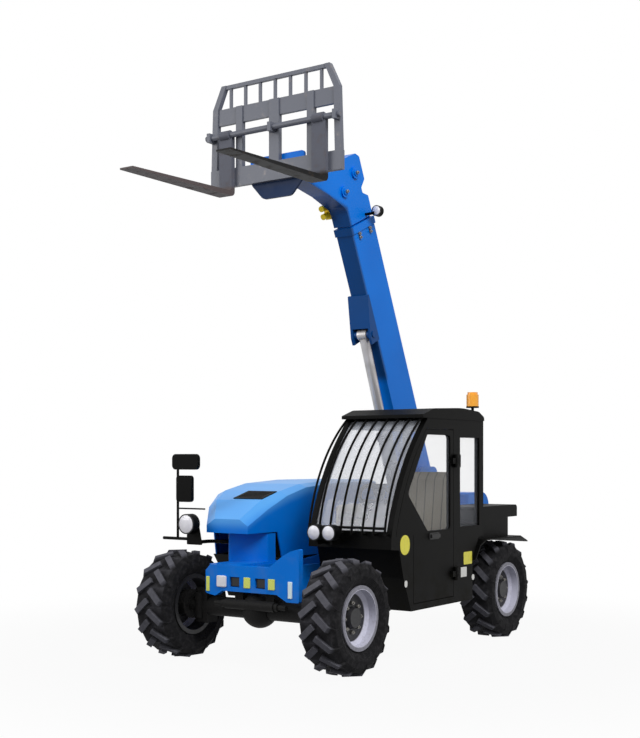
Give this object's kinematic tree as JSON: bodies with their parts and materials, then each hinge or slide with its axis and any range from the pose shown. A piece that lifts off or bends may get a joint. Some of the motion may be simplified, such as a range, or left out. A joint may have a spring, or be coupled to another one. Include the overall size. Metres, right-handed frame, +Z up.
{
  "type": "compact telehandler",
  "caption": "Compact telehandler with an offset cab, raised telescopic boom, pallet forks on a guarded carriage and steered wheels.",
  "frame": {"origin": "on the ground under the machine's centre line, midway between the axles", "axes": "+Z up, -Y forward towards the forks, +X to the machine's left, where the cab is"},
  "size_m": [1.867, 3.89, 4.369],
  "materials": {
    "blue_paint": "gloss",
    "black_paint": "satin",
    "grey_paint": "satin",
    "rim_paint": "satin",
    "cast_black": "matt",
    "steel": "satin",
    "chrome": "polished",
    "tyre": "matt",
    "glass": "clear",
    "plastic_black": "matt",
    "seat_fabric": "woven",
    "lamp": "clear",
    "amber": "clear",
    "red_lens": "clear",
    "cap_yellow": "matt"
  },
  "bodies": {
    "chassis": {"chassis_frame": "blue_paint", "front_plate": "blue_paint", "counterweight": "blue_paint", "tail_lamps": "red_lens", "tow_hitch": "cast_black", "boom_pins": "steel", "front_axle": "cast_black", "rear_axle": "cast_black", "engine_bay": "black_paint", "engine_block": "cast_black", "front_cowl": "blue_paint", "cab_base": "black_paint", "cab_frame": "black_paint", "cab_roof": "black_paint", "windscreen": "glass", "cab_glass": "glass", "windscreen_guard": "black_paint", "door_hinges": "black_paint", "seat": "black_paint", "seat_cushion": "seat_fabric", "seat_back": "seat_fabric", "dashboard": "plastic_black", "cab_lamps": "lamp", "right_lamp": "lamp", "mirror_stalk": "black_paint", "beacon": "plastic_black", "beacon_lens": "amber", "rear_box": "black_paint", "rear_mudguard_left": "plastic_black", "rear_mudguard_right": "plastic_black", "hood_hinges": "black_paint"},
    "outer_boom": {"outer_boom": "blue_paint"},
    "inner_boom": {"inner_boom": "blue_paint", "nose_lamp": "lamp", "hose_couplers": "cap_yellow"},
    "head_pin": {"head_pin": "steel"},
    "carriage": {"coupler": "blue_paint", "fork_carriage": "grey_paint"},
    "fork_left": {"fork_left": "steel"},
    "fork_right": {"fork_right": "steel"},
    "lift_barrel": {"lift_barrel": "black_paint"},
    "lift_rod": {"lift_rod": "chrome"},
    "door": {"door": "black_paint", "door_glass": "glass"},
    "hood": {"hood": "blue_paint", "hood_grille": "plastic_black"},
    "knuckle_front_left": {"knuckle_front_left": "cast_black"},
    "wheel_front_left": {"tyre_front_left": "tyre", "rim_front_left": "rim_paint"},
    "knuckle_front_right": {"knuckle_front_right": "cast_black"},
    "wheel_front_right": {"tyre_front_right": "tyre", "rim_front_right": "rim_paint"},
    "knuckle_rear_left": {"knuckle_rear_left": "cast_black"},
    "wheel_rear_left": {"tyre_rear_left": "tyre", "rim_rear_left": "rim_paint"},
    "knuckle_rear_right": {"knuckle_rear_right": "cast_black"},
    "wheel_rear_right": {"tyre_rear_right": "tyre", "rim_rear_right": "rim_paint"}
  },
  "joints": [
    {"name": "boom_lift", "type": "hinge", "parent": "chassis", "child": "outer_boom", "pos_m": [0, 1.1, 1.36], "axis": [-1, 0, 0], "range_deg": [-72, 3]},
    {"name": "boom_extend", "type": "slide", "parent": "outer_boom", "child": "inner_boom", "axis": [0, -0.4226, 0.9063], "range_m": [0, 1.7]},
    {"name": "fork_levelling", "type": "hinge", "parent": "inner_boom", "child": "head_pin", "pos_m": [0, -0.82646, 3.71664], "axis": [-1, 0, 0], "range_deg": [-3.5, 72.5]},
    {"name": "carriage_tilt", "type": "hinge", "parent": "head_pin", "child": "carriage", "pos_m": [0, -0.82646, 3.71664], "axis": [1, 0, 0], "range_deg": [-12, 40]},
    {"name": "fork_left_slide", "type": "slide", "parent": "carriage", "child": "fork_left", "axis": [1, 0, 0], "range_m": [-0.15, 0.06]},
    {"name": "fork_right_slide", "type": "slide", "parent": "carriage", "child": "fork_right", "axis": [1, 0, 0], "range_m": [-0.06, 0.15]},
    {"name": "lift_barrel_swing", "type": "hinge", "parent": "chassis", "child": "lift_barrel", "pos_m": [0, 0.95, 0.8], "axis": [-1, 0, 0], "range_deg": [-63.66, 3.61]},
    {"name": "lift_rod_slide", "type": "slide", "parent": "lift_barrel", "child": "lift_rod", "axis": [0, -0.3715, 0.9285], "range_m": [-0.6396, 0.0314]},
    {"name": "door_swing", "type": "hinge", "parent": "chassis", "child": "door", "pos_m": [0.898, 0.188, 1], "axis": [0, 0, 1], "range_deg": [0, 95]},
    {"name": "hood_open", "type": "hinge", "parent": "chassis", "child": "hood", "pos_m": [-0.5, 0.725, 1.29], "axis": [-1, 0, 0], "range_deg": [0, 60]},
    {"name": "steer_front_left", "type": "hinge", "parent": "chassis", "child": "knuckle_front_left", "pos_m": [0.56, -1.15, 0.412], "axis": [0, 0, 1], "range_deg": [-30, 30]},
    {"name": "spin_front_left", "type": "hinge", "parent": "knuckle_front_left", "child": "wheel_front_left", "pos_m": [0.75, -1.15, 0.412], "axis": [1, 0, 0], "continuous": true},
    {"name": "steer_front_right", "type": "hinge", "parent": "chassis", "child": "knuckle_front_right", "pos_m": [-0.56, -1.15, 0.412], "axis": [0, 0, 1], "range_deg": [-30.5, 30.5]},
    {"name": "spin_front_right", "type": "hinge", "parent": "knuckle_front_right", "child": "wheel_front_right", "pos_m": [-0.75, -1.15, 0.412], "axis": [1, 0, 0], "continuous": true},
    {"name": "steer_rear_left", "type": "hinge", "parent": "chassis", "child": "knuckle_rear_left", "pos_m": [0.56, 1.15, 0.412], "axis": [0, 0, 1], "range_deg": [-30, 30]},
    {"name": "spin_rear_left", "type": "hinge", "parent": "knuckle_rear_left", "child": "wheel_rear_left", "pos_m": [0.75, 1.15, 0.412], "axis": [1, 0, 0], "continuous": true},
    {"name": "steer_rear_right", "type": "hinge", "parent": "chassis", "child": "knuckle_rear_right", "pos_m": [-0.56, 1.15, 0.412], "axis": [0, 0, 1], "range_deg": [-30.5, 30.5]},
    {"name": "spin_rear_right", "type": "hinge", "parent": "knuckle_rear_right", "child": "wheel_rear_right", "pos_m": [-0.75, 1.15, 0.412], "axis": [1, 0, 0], "continuous": true}
  ],
  "couplings": [
    {"joint": "fork_levelling", "follows": "boom_lift", "ratio": -1},
    {"joint": "lift_barrel_swing", "follows": "boom_lift", "ratio": 0.87035},
    {"joint": "lift_rod_slide", "follows": "boom_lift", "m_per_rad": 0.50499},
    {"joint": "steer_front_right", "follows": "steer_front_left", "ratio": 1},
    {"joint": "steer_rear_right", "follows": "steer_rear_left", "ratio": 1}
  ]
}
